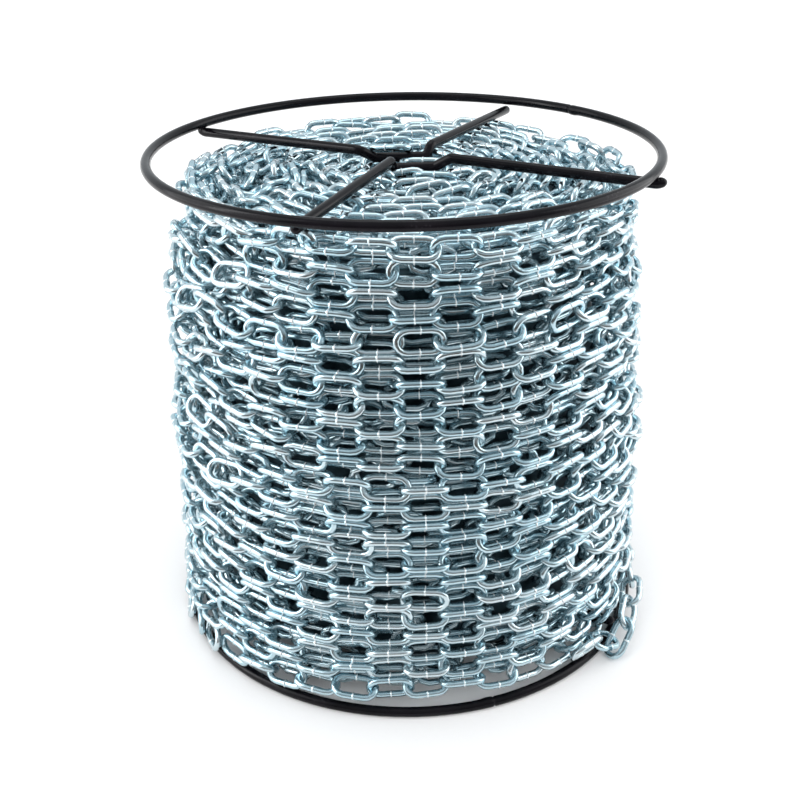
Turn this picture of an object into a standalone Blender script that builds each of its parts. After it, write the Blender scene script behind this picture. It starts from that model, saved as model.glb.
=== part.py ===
"""Steel link chain wound on an open wire reel that stands on one flange.

Metres, +Z up. The origin is on the floor, on the axis of the reel. The lower flange ring rests on
the floor with a flat facet of its section, and the reel's spokes stand as they do in the view from -Y.
"""

import math

import bmesh
import bpy
from mathutils import Matrix, Vector

# Driving sizes of the wire reel
RING_RADIUS = 0.175
WIRE_RADIUS = 0.0035
FLANGE_SPACING = 0.347
WELD_GAP = 0.0003
RING_SIDES = 12
RING_STEPS = 60
WIRE_BEVEL_STEPS = 2
BEND_STEPS = 3
SHARP_ANGLE = math.radians(50)
MERGE_DISTANCE = 0.00001

# Driving sizes of the chain: wire, pitch, outer width of one straight link
LINK_WIRE_RADIUS = 0.0023
LINK_PITCH = 0.0246
LINK_WIDTH = 0.0188
LINK_GAP = 0.0005

# The spoke wires of the upper flange, in plan. Each crosses the flange in a V: it comes in along its
# first arm, goes down a slope to dip beside the axis, and goes up an elbow and out along its second arm.
SPOKE_WIRES = {
    "back": {
        "in_angle": math.radians(148.9),
        "slope_top": (-0.0312, 0.0116),
        "run_start": (-0.0195, 0.0163),
        "run_end": (0.0165, 0.0180),
        "elbow_top": (0.0195, 0.0225),
        "out_angle": math.radians(60.9),
    },
    "front": {
        "in_angle": math.radians(-24.0),
        "slope_top": (0.0320, -0.0152),
        "run_start": (0.0212, -0.0108),
        "run_end": (-0.0075, -0.0128),
        "elbow_top": (-0.0088, -0.0212),
        "out_angle": math.radians(-112.0),
    },
}
SPOKE_RISE_AT_HUB = 0.0040
HUB_DIP = 0.0068
HUB_BEND_RADIUS = 0.0050
LONG_HOOK = math.radians(55)
SHORT_HOOK = math.radians(15)
BOTTOM_FLANGE_TURN = math.radians(-6)
CORE_BAR_SIDES = 8
CORE_BAR_SHARES = (0.22, 0.78)

# The winding: its bore, its rows up the outside and its turns across each end. Its face is upright as
# far as FULL_HEIGHT and leans in by PACK_TAPER from there to its top.
BORE_RADIUS = 0.0270
PACK_RADIUS = 0.175
PACK_TAPER = 0.0125
FULL_HEIGHT = 0.170
ROW_COUNT = 23
TURN_COUNT = 10
STRAND_INSET = 0.0074
RIM_ROUNDING = 0.0060
PACK_TOP_CLEARANCE = 0.0020
PACK_PARTS = 4
PACK_PART_STEPS = 21

# The links of a strand lean to one side and the other in turn. Where two links of neighbouring rows
# lean together they make a ridge, and where they lean apart there is a hollow between the rows.
HOLLOW_DEPTH = 0.0110
ROW_DEPTH = 0.0055
RIM_DEPTH = 0.0040

# The outermost turns are heaped up at the back of the top, and the face gives way to the slack turn
HEAP_ANGLE = math.radians(92)
HEAP_HALF_WIDTH = math.radians(26)
HEAP_START_RADIUS = 0.095
HEAP_HEIGHT = 0.0060
SLACK_RECESS = 0.0032
SLACK_RECESS_ANGLES = (math.radians(-62), math.radians(-2))
SLACK_RECESS_TOP = 0.048

# The slack outer turn: its joints step outward and down round the side of the winding to the floor,
# and its last two links go back over the lower ring. A link with a roll of 0 has its width along the
# radius, and a quarter turn sets it upright.
SLACK_LINKS = 3
SLACK_START_ANGLE = math.radians(-11.3)
SLACK_START_RADIUS = 0.1758
SLACK_START_HEIGHT = 0.0296
SLACK_RADIUS_STEP = 0.0046
SLACK_HEIGHT_STEP = 0.0028
FLOOR_LINK_FOOT = (math.radians(-38.2), 0.1881, 0.0052)
RETURN_START = (math.radians(-35.2), 0.1823, 0.0079)
RETURN_MIDDLE = (math.radians(-42.2), 0.1803, 0.0180)
RETURN_END = (math.radians(-49.4), 0.1809, 0.0209)
SLACK_ROLLS = tuple(math.radians(roll) for roll in (78, -27, 56, -19, 21, 120))
LINK_ARC_STEPS = 8

BOTTOM_RING_HEIGHT = WIRE_RADIUS
TOP_RING_HEIGHT = BOTTOM_RING_HEIGHT + FLANGE_SPACING
WRAP_RADIUS = 2 * WIRE_RADIUS + 2 * WELD_GAP
PACK_BOTTOM = BOTTOM_RING_HEIGHT + WRAP_RADIUS + WIRE_RADIUS + WELD_GAP
PACK_TOP = TOP_RING_HEIGHT - WRAP_RADIUS - WIRE_RADIUS - PACK_TOP_CLEARANCE


def clear_scene():
    """Remove what is in the scene."""
    for obj in list(bpy.data.objects):
        bpy.data.objects.remove(obj, do_unlink=True)


def make_material(name, color, roughness, metallic):
    """A plain surface with one colour."""
    material = bpy.data.materials.new(name)
    material.use_nodes = True
    shader = material.node_tree.nodes["Principled BSDF"]
    shader.inputs["Base Color"].default_value = (*color, 1.0)
    shader.inputs["Roughness"].default_value = roughness
    shader.inputs["Metallic"].default_value = metallic
    material.diffuse_color = (*color, 1.0)
    return material


def finish_object(name, data, material, collection):
    """Put a mesh or a curve in the scene under its own name."""
    obj = bpy.data.objects.new(name, data)
    data.materials.append(material)
    collection.objects.link(obj)
    return obj


def shade_round(mesh):
    """Smooth shading, but for the sharp edges."""
    mesh.shade_smooth()
    mesh.set_sharp_from_angle(angle=SHARP_ANGLE)


def polar(angle, radius, height):
    """A point given by its angle about the reel's axis."""
    return Vector((radius * math.cos(angle), radius * math.sin(angle), height))


def turned_solid(name, profile, steps, material, collection):
    """Turn a closed profile of (radius, height) points about the Z axis."""
    mesh = bpy.data.meshes.new(name)
    shape = bmesh.new()
    points = [shape.verts.new((radius, 0.0, height)) for radius, height in profile]
    for start, end in zip(points, points[1:] + points[:1]):
        shape.edges.new((start, end))
    shape.to_mesh(mesh)
    shape.free()
    obj = finish_object(name, mesh, material, collection)
    screw = obj.modifiers.new("turn", "SCREW")
    screw.steps = steps
    screw.render_steps = steps
    screw.use_merge_vertices = True
    screw.merge_threshold = MERGE_DISTANCE
    screw.use_smooth_shade = True
    return obj


def lofted_sector(name, angles, section_at, material, collection):
    """Join the sections at a run of angles about the Z axis into one body, closed at both ends."""
    mesh = bpy.data.meshes.new(name)
    shape = bmesh.new()
    rings = []
    for angle in angles:
        rings.append([shape.verts.new(polar(angle, radius, height)) for radius, height in section_at(angle)])
    shape.faces.new(rings[0])
    shape.faces.new(rings[-1][::-1])
    for ring, after in zip(rings, rings[1:]):
        for index, corner in enumerate(ring):
            beside = (index + 1) % len(ring)
            shape.faces.new((corner, after[index], after[beside], ring[beside]))
    bmesh.ops.recalc_face_normals(shape, faces=shape.faces)
    bmesh.ops.triangulate(shape, faces=shape.faces)
    shape.to_mesh(mesh)
    shape.free()
    shade_round(mesh)
    return finish_object(name, mesh, material, collection)


def bent_wire(name, points, radius, material, collection, closed=False):
    """A round wire along a run of points."""
    curve = bpy.data.curves.new(name, "CURVE")
    curve.dimensions = "3D"
    curve.bevel_depth = radius
    curve.bevel_resolution = WIRE_BEVEL_STEPS
    curve.use_fill_caps = not closed
    spline = curve.splines.new("POLY")
    spline.points.add(len(points) - 1)
    for place, point in zip(spline.points, points):
        place.co = (*point, 1.0)
    spline.use_cyclic_u = closed
    return finish_object(name, curve, material, collection)


def rounded_corner(before, corner, after, radius):
    """Points of the arc that rounds one corner of a wire's path."""
    inward = (before - corner).normalized()
    outward = (after - corner).normalized()
    half_angle = inward.angle(outward) / 2
    reach = radius / math.tan(half_angle)
    centre = corner + (inward + outward).normalized() * (radius / math.sin(half_angle))
    first = corner + inward * reach - centre
    last = corner + outward * reach - centre
    turn = first.angle(last)
    points = []
    for step in range(BEND_STEPS + 1):
        share = step / BEND_STEPS
        weight_first = math.sin((1 - share) * turn) / math.sin(turn)
        weight_last = math.sin(share * turn) / math.sin(turn)
        points.append(centre + first * weight_first + last * weight_last)
    return points


def end_hook(angle, full_sweep):
    """The end of a spoke, bent up round the ring it is welded to, from its tip inward."""
    points = []
    for step in range(BEND_STEPS + 1):
        sweep = full_sweep * (1 - step / BEND_STEPS)
        radius = RING_RADIUS + WRAP_RADIUS * math.sin(sweep)
        points.append(polar(angle, radius, -WRAP_RADIUS * math.cos(sweep)))
    return points


def spoke_path(wire, first_sweep, last_sweep):
    """One spoke wire of the upper flange, with heights measured from the ring's centre."""
    spoke_height = -WRAP_RADIUS + SPOKE_RISE_AT_HUB
    run_height = spoke_height - HUB_DIP
    slope_top = Vector((*wire["slope_top"], spoke_height))
    run_start = Vector((*wire["run_start"], run_height))
    run_end = Vector((*wire["run_end"], run_height))
    elbow_top = Vector((*wire["elbow_top"], spoke_height))
    first_hook = end_hook(wire["in_angle"], first_sweep)
    last_hook = end_hook(wire["out_angle"], last_sweep)[::-1]
    corners = [first_hook[-1], slope_top, run_start, run_end, elbow_top, last_hook[0]]
    points = list(first_hook)
    for before, corner, after in zip(corners, corners[1:], corners[2:]):
        points += rounded_corner(before, corner, after, HUB_BEND_RADIUS)
    return points + last_hook


def make_rings(material, collection):
    """The two flange rings, each a twelve-sided section with one side flat on the floor."""
    corner_radius = WIRE_RADIUS / math.cos(math.pi / RING_SIDES)
    for name, height in (("bottom_ring", BOTTOM_RING_HEIGHT), ("top_ring", TOP_RING_HEIGHT)):
        profile = []
        for side in range(RING_SIDES):
            angle = -2 * math.pi * (side + 0.5) / RING_SIDES
            profile.append((RING_RADIUS + corner_radius * math.cos(angle),
                            height + corner_radius * math.sin(angle)))
        turned_solid(name, profile, RING_STEPS, material, collection)


def make_spoke_wires(material, collection):
    """Two V-shaped wires in each flange; the lower flange is the upper one upside down and turned."""
    flanges = (("top", TOP_RING_HEIGHT, 1, 0.0, LONG_HOOK),
               ("bottom", BOTTOM_RING_HEIGHT, -1, BOTTOM_FLANGE_TURN, SHORT_HOOK))
    for flange, height, upright, flange_turn, first_sweep in flanges:
        turn = Matrix.Rotation(flange_turn, 4, "Z")
        for place, wire in SPOKE_WIRES.items():
            points = []
            for point in spoke_path(wire, first_sweep, SHORT_HOOK):
                points.append(turn @ Vector((point.x, point.y, height + upright * point.z)))
            bent_wire(f"{flange}_spoke_wire_{place}", points, WIRE_RADIUS, material, collection)


def make_core_bars(material, collection):
    """Four straight wires that stand between the hubs of the two flanges."""
    hub_offset = WRAP_RADIUS - SPOKE_RISE_AT_HUB + HUB_DIP + WIRE_RADIUS + WELD_GAP
    length = FLANGE_SPACING - 2 * hub_offset
    turn = Matrix.Rotation(BOTTOM_FLANGE_TURN / 2, 4, "Z")
    number = 0
    for wire in SPOKE_WIRES.values():
        for share in CORE_BAR_SHARES:
            number += 1
            foot = Vector((*wire["run_start"], 0.0)).lerp(Vector((*wire["run_end"], 0.0)), share)
            foot.z = BOTTOM_RING_HEIGHT + FLANGE_SPACING / 2
            mesh = bpy.data.meshes.new(f"core_bar_{number}")
            shape = bmesh.new()
            bmesh.ops.create_cone(shape, cap_ends=True, segments=CORE_BAR_SIDES,
                                  radius1=WIRE_RADIUS, radius2=WIRE_RADIUS, depth=length)
            shape.to_mesh(mesh)
            shape.free()
            shade_round(mesh)
            bar = finish_object(f"core_bar_{number}", mesh, material, collection)
            bar.location = turn @ foot


def bump(value, middle, half_width):
    """A smooth hill of height 1 that ends half_width away from its middle."""
    share = min(1.0, abs(value - middle) / half_width)
    return (1 + math.cos(math.pi * share)) / 2


def face_radius(angle, height):
    """Radius of the winding's face, with the place where it gives way to the slack turn."""
    share = max(0.0, (height - FULL_HEIGHT) / (PACK_TOP - FULL_HEIGHT))
    recess = 0.0
    if height < SLACK_RECESS_TOP and SLACK_RECESS_ANGLES[0] < angle < SLACK_RECESS_ANGLES[1]:
        recess = SLACK_RECESS
    return PACK_RADIUS - PACK_TAPER * share - recess


def top_height(angle, radius):
    """Height of the winding's upper end, with the heap at the back."""
    slope = min(1.0, max(0.0, (radius - HEAP_START_RADIUS) / (PACK_RADIUS - PACK_TAPER - HEAP_START_RADIUS)))
    return PACK_TOP + HEAP_HEIGHT * slope * bump(angle, HEAP_ANGLE, HEAP_HALF_WIDTH)


def links_before(radii):
    """How many links of the strand come before each of its turns, when its turns have these radii."""
    counts = [0.0]
    for radius in radii:
        counts.append(counts[-1] + 2 * math.pi * radius / LINK_PITCH)
    return counts


def ridge_share(counts, turn, angle):
    """How much the links on both sides of the line below a turn lean together, from 0 to 1."""
    leans = []
    for number, side in ((turn - 1, 1), (turn, -1)):
        if 0 <= number < len(counts) - 1:
            count = counts[number] + (counts[number + 1] - counts[number]) * angle / (2 * math.pi)
            leans.append((1 + side * math.cos(math.pi * count)) / 2)
    return max(leans)


def winding_section(angle):
    """Section of the wound chain at an angle: turns across both ends, rows outside, a plain bore."""
    angle = (angle + math.pi) % (2 * math.pi) - math.pi
    row_height = (PACK_TOP - PACK_BOTTOM) / ROW_COUNT
    middles = [PACK_BOTTOM + (row + 0.5) * row_height for row in range(ROW_COUNT)]
    row_counts = links_before([face_radius(math.pi, middle) - STRAND_INSET for middle in middles])
    top_radius = face_radius(math.pi, PACK_TOP)
    turn_width = (top_radius - BORE_RADIUS) / TURN_COUNT
    turn_middles = [BORE_RADIUS + (turn + 0.5) * turn_width for turn in range(TURN_COUNT)]
    turn_counts = links_before(turn_middles)
    section = [(BORE_RADIUS, PACK_TOP - RIM_DEPTH)]
    for turn, middle in enumerate(turn_middles):
        if turn > 0:
            inner = middle - turn_width / 2
            depth = HOLLOW_DEPTH * (1 - ridge_share(turn_counts, turn, angle))
            section.append((inner, top_height(angle, inner) - depth))
        section.append((middle, top_height(angle, middle) - ROW_DEPTH))
    section.append((top_radius - RIM_ROUNDING, top_height(angle, top_radius) - RIM_DEPTH / 2))
    for row in reversed(range(ROW_COUNT)):
        section.append((face_radius(angle, middles[row]) - ROW_DEPTH, middles[row]))
        if row > 0:
            edge = middles[row] - row_height / 2
            depth = HOLLOW_DEPTH * (1 - ridge_share(row_counts, row, angle))
            section.append((face_radius(angle, edge) - depth, edge))
    section.append((face_radius(angle, PACK_BOTTOM) - RIM_DEPTH, PACK_BOTTOM + RIM_DEPTH / 2))
    turn_width = (PACK_RADIUS - BORE_RADIUS) / TURN_COUNT
    for turn in reversed(range(TURN_COUNT)):
        inner = BORE_RADIUS + turn * turn_width
        section.append((inner + turn_width / 2, PACK_BOTTOM))
        section.append((inner, PACK_BOTTOM + RIM_DEPTH))
    return section


def make_winding(material, collection):
    """The wound chain as one ring in equal parts, moved apart by a hair's breadth."""
    sweep = 2 * math.pi / PACK_PARTS
    for part in range(PACK_PARTS):
        angles = [sweep * (part + step / PACK_PART_STEPS) for step in range(PACK_PART_STEPS + 1)]
        sector = lofted_sector(f"chain_winding_{part + 1}", angles, winding_section, material, collection)
        sector.location = polar((part + 0.5) * sweep, WELD_GAP / 2 / math.sin(sweep / 2), 0.0)


def link_loop(centre, along, across):
    """The centre line of one straight-sided link."""
    end_radius = LINK_WIDTH / 2 - LINK_WIRE_RADIUS
    straight = LINK_PITCH / 2 + LINK_WIRE_RADIUS - end_radius
    points = []
    for side in (1, -1):
        for step in range(LINK_ARC_STEPS + 1):
            angle = math.pi * step / LINK_ARC_STEPS - math.pi / 2
            points.append(centre + along * side * (straight + end_radius * math.cos(angle))
                          + across * side * end_radius * math.sin(angle))
    return points


def make_link(name, start, end, roll, material, collection):
    """One loose link from bearing point to bearing point, rolled about its own length."""
    along = (end - start).normalized()
    centre = (start + end) / 2
    outward = Vector((centre.x, centre.y, 0.0))
    outward = (outward - along * outward.dot(along)).normalized()
    across = outward * math.cos(roll) + outward.cross(along) * math.sin(roll)
    points = link_loop(centre, along, across)
    bent_wire(name, points, LINK_WIRE_RADIUS, material, collection, closed=True)


def make_slack_turn(material, collection):
    """The outer end of the chain, slack at one side: down to the floor and back over the ring."""
    joints = []
    sideways = math.sqrt((LINK_PITCH - LINK_GAP) ** 2 - SLACK_RADIUS_STEP ** 2 - SLACK_HEIGHT_STEP ** 2)
    angle = SLACK_START_ANGLE
    for step in range(SLACK_LINKS + 1):
        radius = SLACK_START_RADIUS + step * SLACK_RADIUS_STEP
        joints.append(polar(angle, radius, SLACK_START_HEIGHT - step * SLACK_HEIGHT_STEP))
        angle -= sideways / (radius + SLACK_RADIUS_STEP / 2)
    runs = [(start, end) for start, end in zip(joints, joints[1:])]
    runs.append((joints[-1], polar(*FLOOR_LINK_FOOT)))
    runs.append((polar(*RETURN_START), polar(*RETURN_MIDDLE)))
    runs.append((polar(*RETURN_MIDDLE), polar(*RETURN_END)))
    for number, ((start, end), roll) in enumerate(zip(runs, SLACK_ROLLS), start=1):
        make_link(f"slack_link_{number}", start, end, roll, material, collection)


def build():
    """Build the reel and the chain on it."""
    clear_scene()
    collection = bpy.data.collections.new("chain_reel")
    bpy.context.scene.collection.children.link(collection)
    black_paint = make_material("black_paint", (0.016, 0.017, 0.020), 0.38, 0.0)
    zinc = make_material("zinc_plated_steel", (0.62, 0.68, 0.71), 0.28, 1.0)
    make_rings(black_paint, collection)
    make_spoke_wires(black_paint, collection)
    make_core_bars(black_paint, collection)
    make_winding(zinc, collection)
    make_slack_turn(zinc, collection)


build()
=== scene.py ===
"""Looks of a black wire reel wound full of zinc-plated steel link chain.

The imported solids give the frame: metres, +Z up, the reel's axis on Z and its foot on the floor. The
reel is remade as smooth welded wire, and the winding as real links: a strand in rows up the outside,
a second layer behind it, turns across both ends, loose links at the upper hub, and a slack outer turn
that reaches the floor.
"""

import logging
import math
from dataclasses import dataclass, field
from enum import Enum

import bpy
import numpy as np
from mathutils import Matrix, Vector


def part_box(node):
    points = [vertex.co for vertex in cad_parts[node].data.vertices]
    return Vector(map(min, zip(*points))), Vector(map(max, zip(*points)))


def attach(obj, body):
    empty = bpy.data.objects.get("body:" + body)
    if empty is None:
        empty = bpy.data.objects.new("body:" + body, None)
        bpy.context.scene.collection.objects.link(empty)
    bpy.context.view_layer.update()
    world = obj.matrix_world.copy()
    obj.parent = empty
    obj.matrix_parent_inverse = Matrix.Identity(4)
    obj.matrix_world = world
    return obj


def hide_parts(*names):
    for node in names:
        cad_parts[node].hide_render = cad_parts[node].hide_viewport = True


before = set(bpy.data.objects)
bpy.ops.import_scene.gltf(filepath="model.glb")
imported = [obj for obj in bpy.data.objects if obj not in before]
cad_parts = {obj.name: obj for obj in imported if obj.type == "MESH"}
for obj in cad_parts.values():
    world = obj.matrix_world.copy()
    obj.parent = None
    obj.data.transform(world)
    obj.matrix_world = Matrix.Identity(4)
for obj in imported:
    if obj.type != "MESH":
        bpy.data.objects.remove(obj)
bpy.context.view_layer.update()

Array = np.ndarray
Material = bpy.types.Material
Piece = bpy.types.Object
Socket = bpy.types.NodeSocket

LOG = logging.getLogger("chain_reel")
BODY = "root"
UP = np.array((0.0, 0.0, 1.0))

# Driving sizes of the reel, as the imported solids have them
RING_RADIUS = 0.175
WIRE_RADIUS = 0.0035
WELD_GAP = 0.0003
BOTTOM_RING_HEIGHT = WIRE_RADIUS
TOP_RING_HEIGHT = BOTTOM_RING_HEIGHT + 0.347
WRAP_RADIUS = 2 * WIRE_RADIUS + 2 * WELD_GAP

# How links are laid and settled
FULL_TURN = 2 * math.pi
QUARTER_TURN = math.radians(90.0)
FIRST_ROLL = math.radians(45.0)
BEADS_A_LINK = 28
SMALLEST = 1e-6


class Detail(Enum):
    """How finely the links of a strand are made."""

    FINE = "fine"
    PLAIN = "plain"


def polar(angle: float, radius: float, height: float) -> Array:
    """A point given by its angle about the reel's axis."""
    return np.array((radius * math.cos(angle), radius * math.sin(angle), height))


def smooth_step(share: Array) -> Array:
    """Rise from 0 to 1 with level ends as share goes from 0 to 1."""
    share = np.clip(share, 0.0, 1.0)
    return share * share * (3.0 - 2.0 * share)


def unit(vectors: Array) -> Array:
    """The same directions with length 1."""
    return vectors / np.linalg.norm(vectors, axis=-1, keepdims=True)


def ring_points(angle: Array, radius: Array, height: Array) -> Array:
    """Points given by their angles about the reel's axis, one row each."""
    return np.stack((radius * np.cos(angle), radius * np.sin(angle), height), axis=-1)


def walked_along(line: Array) -> Array:
    """How far along a line each of its points is."""
    return np.concatenate(((0.0,), np.cumsum(np.linalg.norm(np.diff(line, axis=0), axis=1))))


def points_along(line: Array, places: Array) -> Array:
    """The points of a line that are these distances along it."""
    walked = walked_along(line)
    return np.stack([np.interp(places, walked, line[:, axis]) for axis in range(3)], axis=-1)


def in_scene(name: str, data: bpy.types.ID) -> Piece:
    """A new object with this data, linked into the scene."""
    obj = bpy.data.objects.new(name, data)
    bpy.context.scene.collection.objects.link(obj)
    return obj


def new_piece(name: str, points: Array, faces: list, material: Material) -> Piece:
    """Make a smooth-shaded mesh object that rides on the reel.

    Args:
        name: The piece's name.
        points: Its corners, one row each.
        faces: Lists of corner numbers.
        material: The finish of all its faces.

    Returns:
        The new object, linked into the scene.
    """
    mesh = bpy.data.meshes.new(name)
    mesh.from_pydata(points.tolist(), [], faces)
    mesh.materials.append(material)
    mesh.shade_smooth()
    obj = in_scene(name, mesh)
    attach(obj, BODY)
    LOG.info("%s: %d corners, %d faces", name, len(mesh.vertices), len(mesh.polygons))
    return obj


def tube_faces(rings: int, sides: int, closed: bool) -> Array:
    """Corner numbers of the four-sided faces between the rings of a tube."""
    count = rings if closed else rings - 1
    ring, side = np.meshgrid(np.arange(count), np.arange(sides), indexing="ij")
    after = (ring + 1) % rings
    beside = (side + 1) % sides
    faces = np.stack((ring * sides + side, ring * sides + beside,
                      after * sides + beside, after * sides + side), axis=-1)
    return faces.reshape(-1, 4)


@dataclass(frozen=True)
class WireRun:
    """Round wire swept along a line, with its own radius at each point."""

    line: Array
    radii: Array
    sides: int = 18
    closed: bool = False

    def tangents(self) -> Array:
        """The direction of the line at each of its points."""
        if self.closed:
            return unit(np.roll(self.line, -1, axis=0) - np.roll(self.line, 1, axis=0))
        return unit(np.gradient(self.line, axis=0))

    def corners(self) -> Array:
        """The points of all rings, carried along the line without twist."""
        along = self.tangents()
        side = np.cross(along[0], UP)
        upright = np.linalg.norm(side) < 0.1
        if upright:
            side = np.array((1.0, 0.0, 0.0))
        rings = []
        turn = FULL_TURN * np.arange(self.sides) / self.sides
        for point, direction, radius in zip(self.line, along, self.radii):
            side = unit(side - direction * side.dot(direction))
            other = np.cross(direction, side)
            rings.append(point + radius * (np.outer(np.cos(turn), side) + np.outer(np.sin(turn), other)))
        return np.concatenate(rings)

    @classmethod
    def domed(cls, line: Array, radius: float) -> "WireRun":
        """A wire of one radius with rounded ends."""
        tip_angle, dome_rings = 0.15, 7
        walked = walked_along(line)
        dome = radius * (1 - np.cos(np.linspace(tip_angle, QUARTER_TURN, dome_rings)))
        middle = walked[(walked > radius) & (walked < walked[-1] - radius)]
        places = np.unique(np.concatenate((dome, middle, walked[-1] - dome)))
        inward = np.clip(np.minimum(places, walked[-1] - places) / radius, 0.0, 1.0)
        return cls(points_along(line, places), radius * np.sqrt(1 - (1 - inward) ** 2))

    def build(self, name: str, material: Material) -> Piece:
        """Make the wire as a closed mesh."""
        faces = tube_faces(len(self.line), self.sides, self.closed).tolist()
        if not self.closed:
            last = (len(self.line) - 1) * self.sides
            faces.append(list(range(self.sides))[::-1])
            faces.append(list(range(last, last + self.sides)))
        return new_piece(name, self.corners(), faces, material)


class NodeGraph:
    """A material's or world's node tree, emptied and filled by name."""

    def __init__(self, owner: bpy.types.ID) -> None:
        """Start the owner's tree afresh."""
        owner.use_nodes = True
        self.tree = owner.node_tree
        self.tree.nodes.clear()

    def add(self, kind: str, settings: dict | None = None, **inputs: object) -> bpy.types.Node:
        """Add a node.

        Args:
            kind: The node's class name without the ShaderNode in front.
            settings: Its own properties.
            inputs: Values or output sockets for its inputs, named with _ for a space.

        Returns:
            The node.
        """
        node = self.tree.nodes.new("ShaderNode" + kind)
        for name, value in (settings or {}).items():
            setattr(node, name, value)
        for name, value in inputs.items():
            self.feed(node.inputs[name.replace("_", " ")], value)
        return node

    def feed(self, socket: Socket, value: object) -> None:
        """Set an input, or link it when the value is another node's output."""
        if isinstance(value, Socket):
            self.tree.links.new(value, socket)
        else:
            socket.default_value = value

    def ramp(self, factor: Socket, stops: tuple) -> Socket:
        """A colour ramp through (place, colour) stops."""
        node = self.add("ValToRGB", Fac=factor)
        elements = node.color_ramp.elements
        while len(elements) < len(stops):
            elements.new(0.5)
        for element, (place, color) in zip(elements, stops):
            element.position = place
            element.color = (*color, 1.0)
        return node.outputs["Color"]

    def noise(self, where: Socket, scale: float, detail: float = 2.0) -> Socket:
        """Soft noise from 0 to 1."""
        return self.add("TexNoise", Vector=where, Scale=scale, Detail=detail).outputs["Fac"]

    def span(self, value: Socket, low: float, high: float, to_low: float, to_high: float) -> Socket:
        """Map low..high to to_low..to_high, clamped."""
        node = self.add("MapRange", Value=value)
        node.inputs["From Min"].default_value = low
        node.inputs["From Max"].default_value = high
        node.inputs["To Min"].default_value = to_low
        node.inputs["To Max"].default_value = to_high
        return node.outputs["Result"]

    def math(self, operation: str, first: object, second: object = 0.0) -> Socket:
        """Work out one number from two."""
        node = self.add("Math", {"operation": operation})
        self.feed(node.inputs[0], first)
        self.feed(node.inputs[1], second)
        return node.outputs[0]

    def total(self, first: object, first_share: float, second: object, second_share: float) -> Socket:
        """The sum of two numbers, each with its share."""
        return self.math("ADD", self.math("MULTIPLY", first, first_share),
                         self.math("MULTIPLY", second, second_share))

    def blend(self, mode: str, share: object, first: object, second: object) -> Socket:
        """Mix two colours, through the mix node's colour sockets: 6 and 7 in, 2 out."""
        node = self.add("Mix", {"data_type": "RGBA", "blend_type": mode})
        self.feed(node.inputs[0], share)
        self.feed(node.inputs[6], first)
        self.feed(node.inputs[7], second)
        return node.outputs[2]


class Finish:
    """A finish that makes its material, whose shader each kind of finish sets up in its own way."""

    name: str

    def make(self) -> Material:
        """Build the material."""
        material = bpy.data.materials.new(self.name)
        graph = NodeGraph(material)
        shader = self.shader(graph, graph.add("TexCoord").outputs["Object"])
        graph.add("OutputMaterial", Surface=shader.outputs["BSDF"])
        return material

    def shader(self, graph: NodeGraph, place: Socket) -> bpy.types.Node:
        """Set up the nodes of the surface.

        Args:
            graph: The material's nodes.
            place: Where on the object each point is.

        Returns:
            The shader node.
        """
        raise NotImplementedError


@dataclass(frozen=True)
class ZincPlate(Finish):
    """Bright blue-white zinc plate on drawn steel wire."""

    name: str = "zinc_plate"
    cool: tuple = (0.44, 0.61, 0.68)
    plain: tuple = (0.53, 0.67, 0.72)
    pale: tuple = (0.62, 0.71, 0.74)
    streak: tuple = (0.62, 0.68, 0.70)
    streak_share: float = 0.35
    # Painted highlight: the weld bead gets a pale colour so that it shows as a bright tick under any light
    weld_painted_highlight: tuple = (0.86, 0.89, 0.90)
    weld_highlight_share: float = 0.75
    weld_metallic: float = 0.55
    roughness: tuple = (0.16, 0.28)
    cloud_scale: float = 160.0
    pit_scale: float = 900.0
    drawn_scale: tuple = (6.0, 90.0, 1.0)
    grain_depth: float = 0.0002

    def shader(self, graph: NodeGraph, place: Socket) -> bpy.types.Node:
        """Clouded zinc with the drawing lines of the wire, fine pits and a painted highlight at the weld.
        """
        along_wire = graph.add("UVMap", {"uv_map": "along_wire"}).outputs["UV"]
        tone = graph.add("Attribute", {"attribute_name": "tone"}).outputs["Fac"]
        weld = graph.add("Attribute", {"attribute_name": "weld"}).outputs["Fac"]
        clouds = graph.noise(place, self.cloud_scale, 3.0)
        color = graph.ramp(graph.total(tone, 0.6, clouds, 0.4),
                           ((0.15, self.cool), (0.5, self.plain), (0.85, self.pale)))
        drawn = graph.add("Mapping", Vector=along_wire, Scale=self.drawn_scale).outputs["Vector"]
        lines = graph.noise(drawn, 1.0)
        streaked = graph.blend("MULTIPLY", graph.span(lines, 0.45, 0.75, 0.0, self.streak_share), color,
                               (*self.streak, 1.0))
        # Painted highlight at the weld: pale colour and less metal, so the bead reads bright under any
        # light
        painted_weld_highlight = graph.math("MULTIPLY", weld, self.weld_highlight_share)
        base = graph.blend("MIX", painted_weld_highlight, streaked, (*self.weld_painted_highlight, 1.0))
        rough = graph.span(graph.total(clouds, 0.5, lines, 0.5), 0.3, 0.7, *self.roughness)
        height = graph.total(lines, 0.6, graph.noise(place, self.pit_scale), 0.4)
        bump = graph.add("Bump", Height=height, Strength=0.10, Distance=self.grain_depth).outputs["Normal"]
        metallic = graph.span(weld, 0.0, 1.0, 1.0, self.weld_metallic)
        return graph.add("BsdfPrincipled", Base_Color=base, Metallic=metallic, Roughness=rough, Normal=bump)


@dataclass(frozen=True)
class ShadedZinc(Finish):
    """Painted shade: the chain deep in the winding, coloured dark because little light reaches it."""

    name: str = "zinc_in_shade"
    # Painted shade: near-black, blue-tinged colours for chain deep in the winding, where little light
    # reaches
    dark: tuple = (0.015, 0.032, 0.042)
    light: tuple = (0.05, 0.09, 0.11)
    blotch_scale: float = 90.0
    metallic: float = 0.8
    roughness: float = 0.5

    def shader(self, graph: NodeGraph, place: Socket) -> bpy.types.Node:
        """Painted shade: dark blotches on a rough metal."""
        blotches = graph.noise(place, self.blotch_scale, 3.0)
        color = graph.ramp(blotches, ((0.35, self.dark), (0.7, self.light)))
        return graph.add("BsdfPrincipled", Base_Color=color, Metallic=self.metallic,
                         Roughness=self.roughness)


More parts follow.
